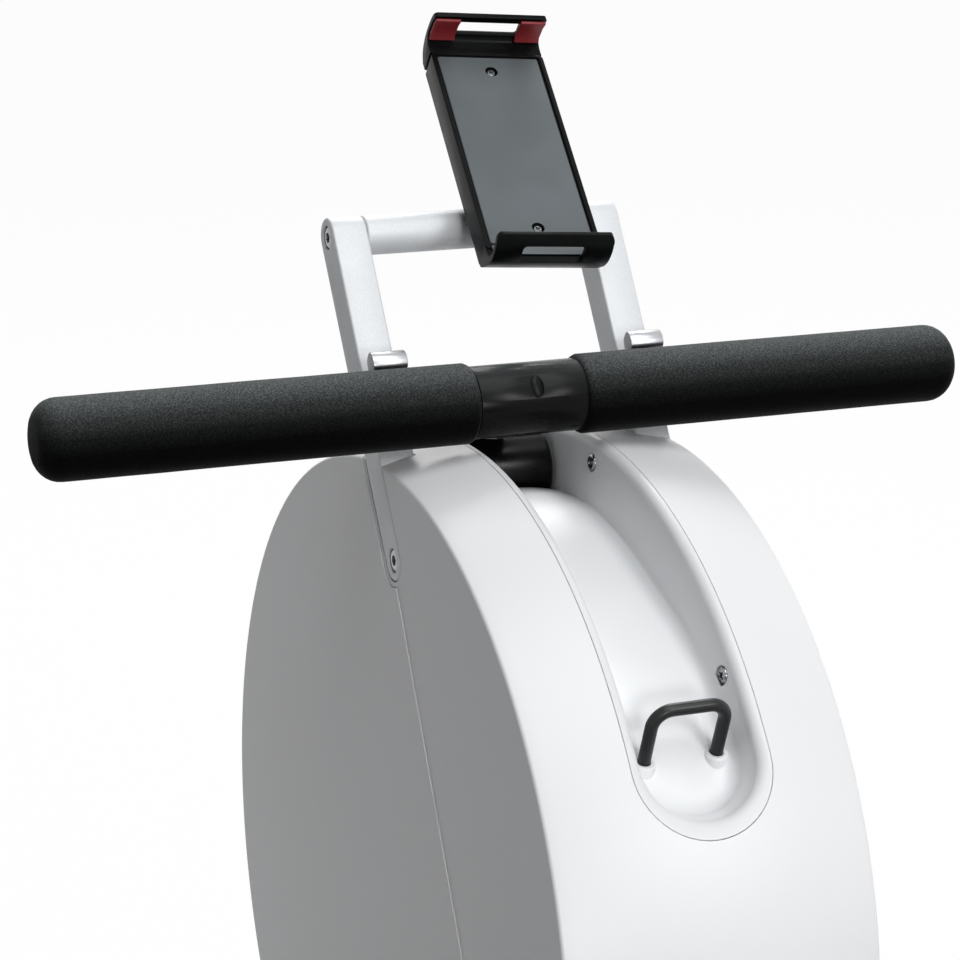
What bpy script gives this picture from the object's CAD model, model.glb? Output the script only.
import math

import bmesh
import bpy
from mathutils import Matrix, Vector, noise
from mathutils.bvhtree import BVHTree


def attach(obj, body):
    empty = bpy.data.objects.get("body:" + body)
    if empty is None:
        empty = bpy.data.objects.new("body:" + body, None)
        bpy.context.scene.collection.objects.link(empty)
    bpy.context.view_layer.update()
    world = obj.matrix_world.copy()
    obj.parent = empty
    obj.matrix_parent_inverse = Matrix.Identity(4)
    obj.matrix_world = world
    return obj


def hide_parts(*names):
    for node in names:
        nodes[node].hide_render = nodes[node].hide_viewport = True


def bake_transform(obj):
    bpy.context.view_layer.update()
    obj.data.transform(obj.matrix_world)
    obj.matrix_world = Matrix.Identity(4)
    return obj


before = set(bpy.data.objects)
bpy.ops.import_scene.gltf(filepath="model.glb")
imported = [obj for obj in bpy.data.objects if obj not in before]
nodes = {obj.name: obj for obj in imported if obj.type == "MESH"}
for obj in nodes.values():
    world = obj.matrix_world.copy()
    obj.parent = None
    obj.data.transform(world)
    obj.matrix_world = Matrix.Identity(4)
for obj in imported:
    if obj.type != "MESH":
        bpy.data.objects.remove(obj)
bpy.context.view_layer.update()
scene = bpy.context.scene
print("frame loaded:", len(nodes), "nodes")

# Places taken over from the CAD, in metres
drumCentre = Vector((0, 0.7599, 0.330))
halfWidth = 0.079
rollerCentre = drumCentre + Vector((0, 0.0435, 0.2127))
spoolCentre = drumCentre + Vector((0, 0.024, 0.060))
handleCentre = Vector((-0.0095, 0.7449, 0.5922))
armFoot = Vector((0, 0.7425, 0.5172))
armHead = Vector((0, 0.8336, 0.6632))
railTop = 0.295
seatY = -0.300
sides = ((-1, "Left"), (1, "Right"))


def toLinear(hexCode):
    channels = [int(hexCode[i:i + 2], 16) / 255 for i in (1, 3, 5)]
    return tuple(c / 12.92 if c <= 0.04045 else ((c + 0.055) / 1.055) ** 2.4 for c in channels) + (1.0,)


# Materials: every pattern is laid out in object coordinates, which are metres on each piece

def addNode(tree, kind, inputs=None, stops=None, **settings):
    made = tree.nodes.new("ShaderNode" + kind)
    for key, value in settings.items():
        setattr(made, key, value)
    for key, value in (inputs or {}).items():
        if isinstance(value, bpy.types.NodeSocket):
            tree.links.new(value, made.inputs[key])
        else:
            made.inputs[key].default_value = value
    if stops:
        for _ in stops[2:]:
            made.color_ramp.elements.new(0.5)
        for element, (position, hexCode) in zip(made.color_ramp.elements, stops):
            element.position, element.color = position, toLinear(hexCode)
    return made


def newMaterial(name, hexCode, roughness, **shaderValues):
    material = bpy.data.materials.new(name)
    material.use_nodes = True
    tree = material.node_tree
    shader = tree.nodes["Principled BSDF"]
    shader.inputs["Base Color"].default_value = toLinear(hexCode)
    shader.inputs["Roughness"].default_value = roughness
    for key, value in shaderValues.items():
        shader.inputs[key.replace("_", " ")].default_value = value
    return material, tree, shader


def layPatterns(tree, patterns):
    # (texture, real size in mm, values): capitalised values are sockets, stretch and shift move the
    # coordinates, the rest are settings; a Product multiplies two patterns laid before it
    fields = {"place": addNode(tree, "TexCoord").outputs["Object"]}
    for label, (kind, size, values) in patterns.items():
        if kind == "Product":
            both = addNode(tree, "Math", {0: fields[size], 1: fields[values]}, operation="MULTIPLY")
            fields[label] = both.outputs["Value"]
            continue
        place = fields["place"]
        if "stretch" in values or "shift" in values:
            place = addNode(tree, "Mapping", {"Vector": place, "Scale": values.get("stretch", (1, 1, 1)),
                                              "Location": values.get("shift", (0, 0, 0))}).outputs["Vector"]
        scale = 1000 / size  # cells of this size along one metre
        if kind == "Wave":
            scale *= math.tau / 20  # Blender's wave bands repeat every tau / 20 of a unit
        sockets = {key: value for key, value in values.items() if key[0].isupper()}
        settings = {key: value for key, value in values.items()
                    if key[0].islower() and key not in ("stretch", "shift")}
        made = addNode(tree, "Tex" + kind, {"Vector": place, "Scale": scale, **sockets}, **settings)
        fields[label] = made.outputs["Distance" if kind == "Voronoi" else "Fac"]
    return fields


def raiseSurface(tree, shader, height, depthMm, strength=1.0, edgeMm=0.0):
    bump = addNode(tree, "Bump", {"Height": height, "Strength": strength, "Distance": depthMm / 1000})
    if edgeMm > 0:
        softEdge = addNode(tree, "Bevel", {"Radius": edgeMm / 1000}, samples=4)  # moulded and filed edges
        tree.links.new(softEdge.outputs["Normal"], bump.inputs["Normal"])
    tree.links.new(bump.outputs["Normal"], shader.inputs["Normal"])


def makeFinish(name, colour, roughness, patterns, tint=None, rub=None, spread=None, bump=None, **shaderValues):
    # tint: pattern, two colours and where they meet; rub: colours up the handle's height, broken up by a
    # pattern; spread: pattern, least and most rough; bump: pattern, depth in mm, strength, edge in mm
    material, tree, shader = newMaterial(name, colour, roughness, **shaderValues)
    fields = layPatterns(tree, patterns)
    if tint:
        source, first, second, *ends = tint
        low, high = ends or (0.35, 0.65)
        shade = addNode(tree, "ValToRGB", {"Fac": fields[source]}, ((low, first), (high, second))).outputs["Color"]
    else:
        apart = addNode(tree, "SeparateXYZ", {"Vector": fields["place"]})
        height = addNode(tree, "MapRange", {"Value": apart.outputs["Z"], "From Min": handleCentre.z - rub["radius"],
                                            "From Max": handleCentre.z + rub["radius"]})
        fade = addNode(tree, "ValToRGB", {"Fac": height.outputs["Result"]}, rub["fade"])
        source, fromLow, fromHigh, toLow, toHigh = rub["broken"]
        worn = addNode(tree, "MapRange", {"Value": fields[source], "From Min": fromLow, "From Max": fromHigh,
                                          "To Min": toLow, "To Max": toHigh})
        shade = addNode(tree, "VectorMath", {0: fade.outputs["Color"], "Scale": worn.outputs["Result"]},
                        operation="SCALE").outputs["Vector"]
    tree.links.new(shade, shader.inputs["Base Color"])
    if spread:
        source, smoothest, roughest = spread
        rough = addNode(tree, "MapRange", {"Value": fields[source], "From Min": 0.3, "From Max": 0.7,
                                           "To Min": smoothest, "To Max": roughest})
        tree.links.new(rough.outputs["Result"], shader.inputs["Roughness"])
    if bump:
        raiseSurface(tree, shader, fields[bump[0]], *bump[1:])
    return material


def makeMouldedAbs(name, colour, shade):
    # injection-moulded ABS from a fine spark-eroded mould: an even satin white with a soft broad highlight
    return makeFinish(
        name, colour, 0.4, {"cloud": ("Noise", 120, {"Detail": 2.0}), "grain": ("Noise", 0.5, {"Detail": 1.0})},
        tint=("cloud", shade, colour), spread=("cloud", 0.385, 0.415), bump=("grain", 0.006, 0.35, 0.7), IOR=1.53)


def makeAcetal(name, colour, pale, roughness, gloss):
    # turned acetal or glass-filled nylon: a waxy highlight with fine rings from the lathe tool
    rings = {"Distortion": 0.6, "Detail": 1.0, "bands_direction": "X"}
    return makeFinish(
        name, colour, roughness, {"rings": ("Wave", 2.8, rings), "cloud": ("Noise", 12, {"Detail": 3.0})},
        tint=("cloud", colour, pale), spread=("cloud", roughness - 0.04, roughness + 0.08),
        bump=("rings", 0.01, 0.2, 0.5), IOR=1.48, Specular_IOR_Level=gloss)


def makeRubber(name, colour, pale, roughness):
    # moulded rubber: matte, with a dusty bloom in soft patches
    return makeFinish(
        name, colour, roughness, {"bloom": ("Noise", 9, {"Detail": 5.0}), "fine": ("Noise", 0.7, {"Detail": 2.0})},
        tint=("bloom", colour, pale, 0.4, 0.75), bump=("fine", 0.03, 0.4, 0.6), Specular_IOR_Level=0.25)


def makeWebbing(name, across, along):
    # woven polyester webbing, warp ribs with a finer weft across them, dull with a little sheen; the real
    # ribs are 1 mm apart and drawn coarser
    return makeFinish(
        name, "#161718", 0.8,
        {"warp": ("Wave", 1.8, {"bands_direction": across}), "weft": ("Wave", 2.4, {"bands_direction": along}),
         "both": ("Product", "warp", "weft")},
        tint=("both", "#0D0E0F", "#292B2D", 0.1, 0.9), bump=("both", 0.25, 0.8), Sheen_Weight=0.25,
        Sheen_Roughness=0.5)


def makeRestAluminium():
    # cast fin: cradle and tip polished bright, so they mirror the dark handle; its flat sides satin grey
    rest = {"colour": "#B4B5B7", "streak": "#A6A8AA", "side": "#D3D5D7", "lineMm": 0.35}
    material, tree, shader = newMaterial("polishedCastAluminium", rest["colour"], 0.2, Metallic=1.0)
    line = ("Noise", rest["lineMm"], {"Detail": 2.0, "stretch": (0.04, 1, 1)})
    streak = layPatterns(tree, {"streak": line})["streak"]
    facing = addNode(tree, "SeparateXYZ", {"Vector": addNode(tree, "TexCoord").outputs["Normal"]})
    sideways = addNode(tree, "Math", {0: facing.outputs["X"]}, operation="ABSOLUTE")
    cradle = addNode(tree, "MapRange", {"Value": sideways.outputs["Value"], "From Min": 0.7, "From Max": 0.95,
                                        "To Min": 1.0, "To Max": 0.0}).outputs["Result"]
    ramp = addNode(tree, "ValToRGB", {"Fac": streak}, ((0.35, rest["streak"]), (0.65, rest["colour"])))
    colour = addNode(tree, "Mix", {0: cradle, 6: toLinear(rest["side"]), 7: ramp.outputs["Color"]}, data_type="RGBA")
    grind = addNode(tree, "MapRange", {"Value": streak, "From Min": 0.3, "From Max": 0.7,
                                       "To Min": 0.28, "To Max": 0.36})
    rough = addNode(tree, "MapRange", {"Value": cradle, "To Min": 0.45, "To Max": grind.outputs["Result"]})
    tree.links.new(colour.outputs[2], shader.inputs["Base Color"])
    tree.links.new(cradle, shader.inputs["Metallic"])
    tree.links.new(rough.outputs["Result"], shader.inputs["Roughness"])
    raiseSurface(tree, shader, streak, 0.01, 0.3, 0.4)
    return material


mouldedAbs = makeMouldedAbs("mouldedAbsWhite", "#F1F1F2", "#EEEFF0")
channelAbs = makeMouldedAbs("mouldedAbsChannel", "#ECEDEE", "#E9EAEB")
restAluminium = makeRestAluminium()
rollerAcetal = makeAcetal("turnedAcetal", "#070708", "#0A0A0B", 0.3, 0.2)
blackNylon = makeAcetal("glassFilledNylon", "#1A1B1D", "#242527", 0.46, 0.4)
tyreRubber = makeRubber("wheelRubber", "#1A1A1A", "#262625", 0.78)
beltRubber = makeRubber("ribbedBeltRubber", "#131314", "#1D1D1E", 0.7)
rollerUrethane = makeRubber("castPolyurethane", "#2A2B2D", "#37393B", 0.45)
strapWebbing = makeWebbing("pullStrapWebbing", "X", "Z")
footWebbing = makeWebbing("footStrapWebbing", "Y", "X")

# powder-coated aluminium: a pale silver with fine metal flake, which is 0.05 mm in life and drawn coarser
silverCoat = makeFinish(
    "silverPowderCoat", "#E2E4E6", 0.5, {"flake": ("Voronoi", 0.45, {}), "cloud": ("Noise", 18, {"Detail": 3.0})},
    tint=("flake", "#CFD2D5", "#E2E4E6", 0.1, 0.6), spread=("cloud", 0.45, 0.55), bump=("flake", 0.008, 0.3, 0.8),
    Metallic=0.12)

# closed-cell NBR foam: cut cells glint as fine specks, rubbed pale along the top and near black beneath;
# the real cells are 0.3 mm and drawn coarser
gripFoam = makeFinish(
    "closedCellFoam", "#131414", 0.95,
    {"cells": ("Noise", 0.9, {"Detail": 2.5, "Roughness": 0.7}), "pores": ("Voronoi", 0.7, {}),
     "both": ("Product", "cells", "pores")},
    rub={"radius": 0.020, "broken": ("both", 0.12, 0.40, 0.55, 1.7),
         "fade": ((0.10, "#020202"), (0.38, "#060606"), (0.58, "#161717"), (0.78, "#323434"), (1.0, "#585B5B"))},
    bump=("both", 0.22, 0.8), Sheen_Weight=0.12, Sheen_Roughness=0.35, Specular_IOR_Level=0.03)

# powder-coated steel tube, semi-gloss black: rubbed paler on top, soft highlights, a trace of orange peel
blackTube = makeFinish(
    "semiGlossBlackCoat", "#070708", 0.24,
    {"peel": ("Noise", 1.6, {"Detail": 2.0}), "rubbed": ("Noise", 5, {"Detail": 4.0, "stretch": (0.3, 1, 1)})},
    rub={"radius": 0.018, "broken": ("rubbed", 0.3, 0.7, 0.8, 1.3),
         "fade": ((0.2, "#040404"), (0.6, "#080808"), (0.8, "#1C1D1D"), (0.93, "#2C2E2E"), (1.0, "#4A4D4D"))},
    spread=("rubbed", 0.2, 0.3), bump=("peel", 0.006, 0.2, 0.4), Specular_IOR_Level=0.09)

# powder-coated steel, fine-textured black: satin, with a pebbled surface that shows close up
blackCoat = makeFinish(
    "texturedBlackPowderCoat", "#111213", 0.5,
    {"pebble": ("Voronoi", 1.1, {"feature": "SMOOTH_F1"}), "cloud": ("Noise", 30, {"Detail": 3.0})},
    tint=("cloud", "#111213", "#17181A"), spread=("cloud", 0.44, 0.56), bump=("pebble", 0.05, 0.4, 0.8),
    Specular_IOR_Level=0.3)

# dip-coated steel rod: an even charcoal satin that rounds off where it enters its sockets
hoopCoat = makeFinish(
    "dippedBlackRod", "#101112", 0.34, {"runs": ("Noise", 2.2, {"Detail": 3.0})},
    tint=("runs", "#0E0F10", "#151617"), spread=("runs", 0.3, 0.4), bump=("runs", 0.02, 0.3),
    Specular_IOR_Level=0.35)

# moulded black ABS, satin with a fine etched grain; edges catch a thin grey line
trayAbs = makeFinish(
    "etchedBlackAbs", "#0D0E0F", 0.34,
    {"grain": ("Noise", 0.5, {"Detail": 2.0}), "cloud": ("Noise", 14, {"Detail": 3.0})},
    tint=("cloud", "#08090A", "#0D0E0F"), spread=("cloud", 0.28, 0.38), bump=("grain", 0.012, 0.4, 0.6), IOR=1.53,
    Specular_IOR_Level=0.055)

# e-coated steel sheet set into the tray: dark grey, satin, with a faint cloud
panSheet = makeFinish(
    "eCoatedSheet", "#4E5456", 0.38,
    {"cloud": ("Noise", 60, {"Detail": 2.0}), "fine": ("Noise", 0.6, {"Detail": 2.0})},
    tint=("cloud", "#4E5456", "#5C6265", 0.3, 0.7), spread=("fine", 0.34, 0.44), bump=("fine", 0.006, 0.3),
    Metallic=0.35)

# moulded silicone rubber pad: deep matte red, slightly translucent-looking at its edges
redSilicone = makeFinish(
    "redSilicone", "#7C161C", 0.55, {"grain": ("Noise", 0.8, {"Detail": 2.0})},
    tint=("grain", "#721318", "#871A20"), bump=("grain", 0.02, 0.4, 0.5), Subsurface_Weight=0.05,
    Subsurface_Scale=0.002)

# moulded polypropylene with a leather-like mould grain: grey-black, dull, a little chalky
polypropylene = makeFinish(
    "grainedPolypropylene", "#161718", 0.58,
    {"grain": ("Voronoi", 1.3, {"feature": "DISTANCE_TO_EDGE"}), "scuff": ("Noise", 24, {"Detail": 5.0})},
    tint=("scuff", "#141516", "#1C1D1E"), spread=("scuff", 0.5, 0.66), bump=("grain", 0.08, 0.45, 0.9),
    Specular_IOR_Level=0.25)

# bright zinc-plated pressed steel: cool grey, with soft spangle and rolling lines
zincSteel = makeFinish(
    "zincPlatedSteel", "#A9ACB0", 0.36,
    {"spangle": ("Voronoi", 3, {}), "rolled": ("Noise", 0.5, {"Detail": 2.0, "stretch": (1, 0.05, 1)})},
    tint=("spangle", "#A5A8AC", "#ADB0B4", 0.1, 0.8), spread=("rolled", 0.3, 0.44),
    bump=("rolled", 0.006, 0.3, 0.4), Metallic=1.0)

# extruded 6063 aluminium, satin anodised: pale grey with faint die lines along the rail
anodised = makeFinish(
    "anodisedExtrusion", "#C4C6C9", 0.34,
    {"lines": ("Noise", 0.6, {"Detail": 2.0, "stretch": (1, 0.01, 1)}), "cloud": ("Noise", 70, {"Detail": 2.0})},
    tint=("lines", "#B3B6B9", "#C4C6C9"), spread=("cloud", 0.3, 0.4), bump=("lines", 0.01, 0.35, 0.5),
    Metallic=0.9)

# turned and plated flywheel disc: concentric tool rings about its axle, bright and cool
flywheelMiddle = drumCentre + Vector((0, -0.045, -0.055))
turnedSteel = makeFinish(
    "turnedSteel", "#A7AAAD", 0.28,
    {"rings": ("Wave", 1.4, {"wave_type": "RINGS", "rings_direction": "X",
                             "shift": (0, -flywheelMiddle.y, -flywheelMiddle.z)})},
    tint=("rings", "#8C8F93", "#A7AAAD", 0.2, 0.8), spread=("rings", 0.22, 0.36), bump=("rings", 0.02, 0.3),
    Metallic=1.0)

# nickel-chromed screw heads: near mirror, with fine scratches round the recess
chrome = makeFinish(
    "chromedScrew", "#8E9194", 0.22, {"scratch": ("Noise", 0.5, {"Detail": 3.0})},
    tint=("scratch", "#7E8184", "#A2A5A8"), spread=("scratch", 0.12, 0.26), Metallic=1.0)

# black-oxide socket screws: dark brown-black steel with an oily low gloss
blackOxide = makeFinish(
    "blackOxideScrew", "#2B2A2A", 0.38, {"oil": ("Noise", 1.5, {"Detail": 3.0})},
    tint=("oil", "#232222", "#343332"), spread=("oil", 0.3, 0.46), Metallic=0.8)

# expanded PVC leathercloth: black, a soft pebble grain with a low oily shine on its crests
seatVinyl = makeFinish(
    "pvcLeathercloth", "#141516", 0.46,
    {"grain": ("Voronoi", 1.5, {"feature": "DISTANCE_TO_EDGE"}), "cloud": ("Noise", 40, {"Detail": 4.0})},
    tint=("grain", "#141516", "#202123", 0.0, 0.35), spread=("cloud", 0.4, 0.54), bump=("grain", 0.16, 0.6),
    Specular_IOR_Level=0.32)

# bonded polyester sewing thread, charcoal: a twisted highlight on each stitch
thread = makeFinish(
    "bondedThread", "#3A3C3F", 0.6, {"twist": ("Wave", 0.8, {"bands_direction": "DIAGONAL"})},
    tint=("twist", "#2E3033", "#484B4F", 0.2, 0.8), Sheen_Weight=0.3)
print("materials made")


def pair(*names):
    return [name + hand for name in names for hand in ("_left", "_right")]


finishes = {
    mouldedAbs: ["front_cover", "rear_cover"],
    channelAbs: ["channel_insert"],
    silverCoat: pair("arm") + ["crossbar"],
    restAluminium: pair("handle_rest"),
    blackTube: ["handle_tube"],
    gripFoam: pair("grip"),
    hoopCoat: ["wire_hoop"],
    trayAbs: ["tablet_tray", "tablet_jaw", "tablet_clamp"],
    redSilicone: pair("jaw_pad"),
    rollerAcetal: ["guide_roller"],
    blackNylon: ["strap_spool", "drive_pulley", "gear_motor"],
    polypropylene: pair("front_cap", "rear_cap", "footplate", "heel_cup") + ["rail_end_cap"],
    blackCoat: ["base_frame", "rear_leg", "foot_bracket"],
    anodised: ["rail"],
    tyreRubber: pair("transport_wheel"),
    beltRubber: ["drive_belt"],
    rollerUrethane: pair("seat_roller_front", "seat_roller_back"),
    turnedSteel: ["flywheel"],
    zincSteel: pair("chassis_plate", "flywheel_bearing") + [
        "guide_roller_axle", "recoil_spring_case", "flywheel_axle", "main_axle", "one_way_clutch", "flywheel_pulley",
        "magnet_yoke", "magnet_inner", "magnet_outer", "seat_carriage"],
    seatVinyl: ["seat_cushion"],
    footWebbing: pair("foot_strap"),
    strapWebbing: ["pull_strap"],
}
for material, names in finishes.items():
    for name in names:
        for slot in nodes[name].material_slots:
            slot.material = material


# every piece rides on a body and takes its finish from one of the record's slots

def asObject(name, form):
    mesh = bpy.data.meshes.new(name)
    form.to_mesh(mesh)
    form.free()
    made = bpy.data.objects.new(name, mesh)
    scene.collection.objects.link(made)
    return made


def dress(thing, material, body, node, smoothAngle):
    thing.data.shade_smooth()
    thing.data.set_sharp_from_angle(angle=math.radians(smoothAngle))
    thing.data.materials.clear()
    thing.data.materials.append(material)
    if body:
        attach(thing, body)
    if node:
        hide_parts(node)
    return thing


def newPiece(name, form, material, body, smoothAngle, node=None):
    bmesh.ops.recalc_face_normals(form, faces=form.faces)
    return dress(asObject(name, form), material, body, node, smoothAngle)


def moved(form, matrix):
    bmesh.ops.transform(form, matrix=matrix, verts=form.verts)
    return form


def joinRings(form, rings, closed=False):
    pairs = list(zip(rings, rings[1:])) + ([(rings[-1], rings[0])] if closed else [])
    for a, b in pairs:
        for i in range(len(a)):
            j = (i + 1) % len(a)
            form.faces.new((a[i], a[j], b[j], b[i]))


def turnProfile(profile, steps):
    # profile holds (radius, height) points, turned about Z
    form = bmesh.new()
    rings = []
    for radius, height in profile:
        if radius < 1e-7:
            rings.append([form.verts.new((0, 0, height))])
        else:
            rings.append([form.verts.new((radius * math.cos(math.tau * i / steps),
                                          radius * math.sin(math.tau * i / steps), height))
                          for i in range(steps)])
    for lower, upper in zip(rings, rings[1:]):
        for i in range(steps):
            j = (i + 1) % steps
            corners = list(dict.fromkeys((lower[i % len(lower)], lower[j % len(lower)],
                                          upper[j % len(upper)], upper[i % len(upper)])))
            if len(corners) > 2:
                form.faces.new(corners)
    return form


def aim(form, place, direction, spin=0.0):
    # turns a form that was drawn standing on Z so that it stands at a place along a direction
    turn = Vector(direction).to_track_quat("Z", "Y").to_matrix().to_4x4()
    return moved(form, Matrix.Translation(Vector(place)) @ turn @ Matrix.Rotation(math.radians(spin), 4, "Z"))


def screwHead(radius, height, recess, recessDepth, dome):
    # a head with a driver recess: recess holds (angle, radius) corners in order round the middle
    form = bmesh.new()
    rise = [(1.0, 0.0), (1.0, height * (1 - dome)), (0.93, height * (1 - dome * 0.45)), (0.74, height)]
    rings = [[form.verts.new((radius * share * math.cos(a), radius * share * math.sin(a), z)) for a, _ in recess]
             for share, z in rise]
    rings.append([form.verts.new((r * math.cos(a), r * math.sin(a), height)) for a, r in recess])
    rings.append([form.verts.new((r * 0.86 * math.cos(a), r * 0.86 * math.sin(a), height - recessDepth))
                  for a, r in recess])
    joinRings(form, rings)
    form.faces.new(rings[-1])
    form.faces.new(list(reversed(rings[0])))
    return form


def hexRecess(across):
    outline = []
    for i in range(24):
        a = math.tau * i / 24
        off = (a % (math.pi / 3)) - math.pi / 6
        outline.append((a, across / 2 / math.cos(off)))
    return outline


def crossRecess(length, width):
    outline = []
    for quarter in range(4):
        turn = quarter * math.pi / 2
        corners = [(length, -width), (length, 0), (length, width), (width * 1.5, width * 1.5)]
        for i in (1, 2):
            corners.append((length - (length - width * 1.5) * i / 3, width + width * 0.5 * i / 3))
            corners.append((width + width * 0.5 * i / 3, length - (length - width * 1.5) * i / 3))
        for x, y in corners:
            outline.append((turn + math.atan2(y, x), math.hypot(x, y)))
    return sorted(((a % math.tau, r) for a, r in outline))


screws = {
    "wallScrew": {"radius": 0.0043, "height": 0.0019, "recess": crossRecess(0.0024, 0.00055), "deep": 0.0013,
                  "dome": 0.75},
    "trayScrew": {"radius": 0.0026, "height": 0.0016, "recess": crossRecess(0.0016, 0.0004), "deep": 0.0009,
                  "dome": 0.6},
    "armScrew": {"radius": 0.0056, "height": 0.0032, "recess": hexRecess(0.0050), "deep": 0.0026, "dome": 0.2},
    "buttonScrew": {"radius": 0.0052, "height": 0.0028, "recess": hexRecess(0.0036), "deep": 0.0016, "dome": 0.7},
    "grubScrew": {"radius": 0.0026, "height": 0.0010, "recess": hexRecess(0.0026), "deep": 0.0008, "dome": 0.3},
}


def putScrew(name, kind, material, place, direction, body, spin=0.0):
    size = screws[kind]
    form = screwHead(size["radius"], size["height"], size["recess"], size["deep"], size["dome"])
    return newPiece(name, aim(form, place, direction, spin), material, body, 30)


def drumPoint(radius, angle, x=0.0):
    a = math.radians(angle)
    return drumCentre + Vector((x, -radius * math.cos(a), radius * math.sin(a)))


def arcPoints(cu, cv, radius, start, end, steps):
    turns = [math.radians(start + (end - start) * i / steps) for i in range(steps + 1)]
    return [(cu + radius * math.cos(a), cv + radius * math.sin(a)) for a in turns]


def stadiumPoints(start, end, radius, steps=24):
    turn = math.degrees(math.atan2(end[1] - start[1], end[0] - start[0]))
    return arcPoints(end[0], end[1], radius, turn - 90, turn + 90, steps) \
        + arcPoints(start[0], start[1], radius, turn + 90, turn + 270, steps)


def curveThrough(points, steps=5):
    # a smooth line through the points, as the mould's curved walls run
    ends = [points[0]] + points + [points[-1]]
    line = []
    for a, b, c, d in zip(ends, ends[1:], ends[2:], ends[3:]):
        for i in range(steps):
            t = i / steps
            line.append(tuple(0.5 * (2 * q + (r - p) * t + (2 * p - 5 * q + 4 * r - w) * t * t
                                     + (3 * q - p - 3 * r + w) * t ** 3) for p, q, r, w in zip(a, b, c, d)))
    return line + [points[-1]]


def mirrored(half):
    # half holds (along, radius) points on the low side
    return half + [(-along, r) for along, r in reversed(half)]


def roundedCorner(half, radius, turn):
    steps = [math.radians(90 * i / 6) for i in range(7)]
    return [(-half + turn * (1 - math.cos(a)), radius - turn * (1 - math.sin(a))) for a in steps]


def prismAlongX(outline, near, far):
    form = bmesh.new()
    low, high = sorted((near, far))
    first = [form.verts.new((low, y, z)) for y, z in outline]
    last = [form.verts.new((high, y, z)) for y, z in outline]
    form.faces.new(first)
    form.faces.new(last)
    joinRings(form, [first, last])
    return form


def sweep(path, outline, side=None, closed=False):
    # outline is given across and up; without a fixed side it is swept level
    form = bmesh.new()
    rings = []
    for i, point in enumerate(path):
        if closed:
            run = (path[(i + 1) % len(path)] - path[i - 1]).normalized()
        else:
            run = (path[min(i + 1, len(path) - 1)] - path[max(i - 1, 0)]).normalized()
        across = run.cross(Vector((0, 0, 1))).normalized() if side is None else side
        up = across.cross(run)
        rings.append([form.verts.new(point + across * u + up * v) for u, v in outline])
    joinRings(form, rings, closed)
    if not closed:
        form.faces.new(rings[0])
        form.faces.new(list(reversed(rings[-1])))
    return form


def circlePoints(radius, steps):
    return [(radius * math.cos(a), radius * math.sin(a)) for a in (math.tau * k / steps for k in range(steps))]


def turnAboutX(profile, steps, centre, hollow=False):
    # profile holds (along, radius) points; a hollow one closes on itself as a ring
    form = turnProfile([(radius, along) for along, radius in profile], steps)
    if hollow:
        form.verts.ensure_lookup_table()
        first = [form.verts[i] for i in range(steps)]
        last = [form.verts[len(form.verts) - steps + i] for i in range(steps)]
        joinRings(form, [last, first])
    return moved(form, Matrix.Translation(centre) @ Matrix.Rotation(math.radians(90), 4, "Y"))


def solidFrom(name, form):
    bmesh.ops.remove_doubles(form, verts=form.verts, dist=1e-6)
    bmesh.ops.recalc_face_normals(form, faces=form.faces)
    if form.calc_volume(signed=True) < 0:
        bmesh.ops.reverse_faces(form, faces=form.faces)
    return asObject(name, form)


def bakeModifiers(thing):
    graph = bpy.context.evaluated_depsgraph_get()
    baked = bpy.data.meshes.new_from_object(thing.evaluated_get(graph))
    thing.modifiers.clear()
    thing.data = baked


def carve(thing, form, operation="DIFFERENCE"):
    helper = form if isinstance(form, bpy.types.Object) else solidFrom("helper", form)
    step = thing.modifiers.new("carve", "BOOLEAN")
    step.operation, step.solver, step.object = operation, "EXACT", helper
    bakeModifiers(thing)
    bpy.data.objects.remove(helper)
    return thing


def breakEdges(thing, width, segments, angle):
    soften = thing.modifiers.new("soften", "BEVEL")
    soften.width, soften.segments, soften.limit_method = width, segments, "ANGLE"
    soften.angle_limit = math.radians(angle)
    soften.use_clamp_overlap = True
    bakeModifiers(thing)


def drill(thing, place, radius, near, far, count):
    # a round hole along X, cut with a prism of so many sides
    ring = arcPoints(place.y, place.z, radius, 0, 360 - 360 / count, count - 1)
    carve(thing, prismAlongX(ring, near, far))


def finish(thing, material, body, node=None, bevel=0.0, segments=2, smoothAngle=35):
    if bevel > 0:
        breakEdges(thing, bevel, segments, 38)
    return dress(thing, material, body, node, smoothAngle)


# the drum's rear shell stands proud of the front one, so that its edge catches the light
drum = {"radius": 0.2313, "crown": 0.0088, "edge": 0.0016, "wall": 0.0026, "seam": 0.0003, "channelGap": 0.00025,
        "steps": 180, "armPocket": 0.0599, "proud": 0.0007, "frontOpening": (0.0758, 0.0632, 0.004, 4, 0, 0.265),
        "rearOpening": (0.0832, 0.084, 0.006, 4, 0), "partingLow": Vector((0, -0.187, -0.137))}
channel = {"half": 0.03475, "low": 33.1, "high": 104.5, "floor": 0.2025, "floorCrown": 0.0060, "rise": 0.0095,
           "lip": 0.0058, "wall": 0.0022, "run": 0.0022, "endSlope": 0.6, "endSteps": 24, "sideSteps": 44,
           "lipSteps": 8, "bowl": 0.0095, "screwAngles": (86.1, 44.1), "screwRadius": 0.2270,
           "recess": 0.0048, "recessReach": (0.0270, 0.0296), "skirt": 0.0055,
           "floorInsets": (0.0, 0.00015, 0.0005, 0.0012, 0.0022, 0.0035, 0.0050, 0.0068, 0.0088, 0.0110, 0.0135,
                           0.0160, 0.0200, 0.0240), "underInsets": (0.0012, 0.0040, 0.0088, 0.0160)}
arm = {"lean": 31.96, "halfDepth": 0.0101, "inner": 0.0605, "pocketGap": 0.0007, "recess": 0.0062, "deep": 0.0036,
       "bore": 0.0033, "edge": 0.0011}
armUp = Vector((0, math.sin(math.radians(arm["lean"])), math.cos(math.radians(arm["lean"]))))
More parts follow.
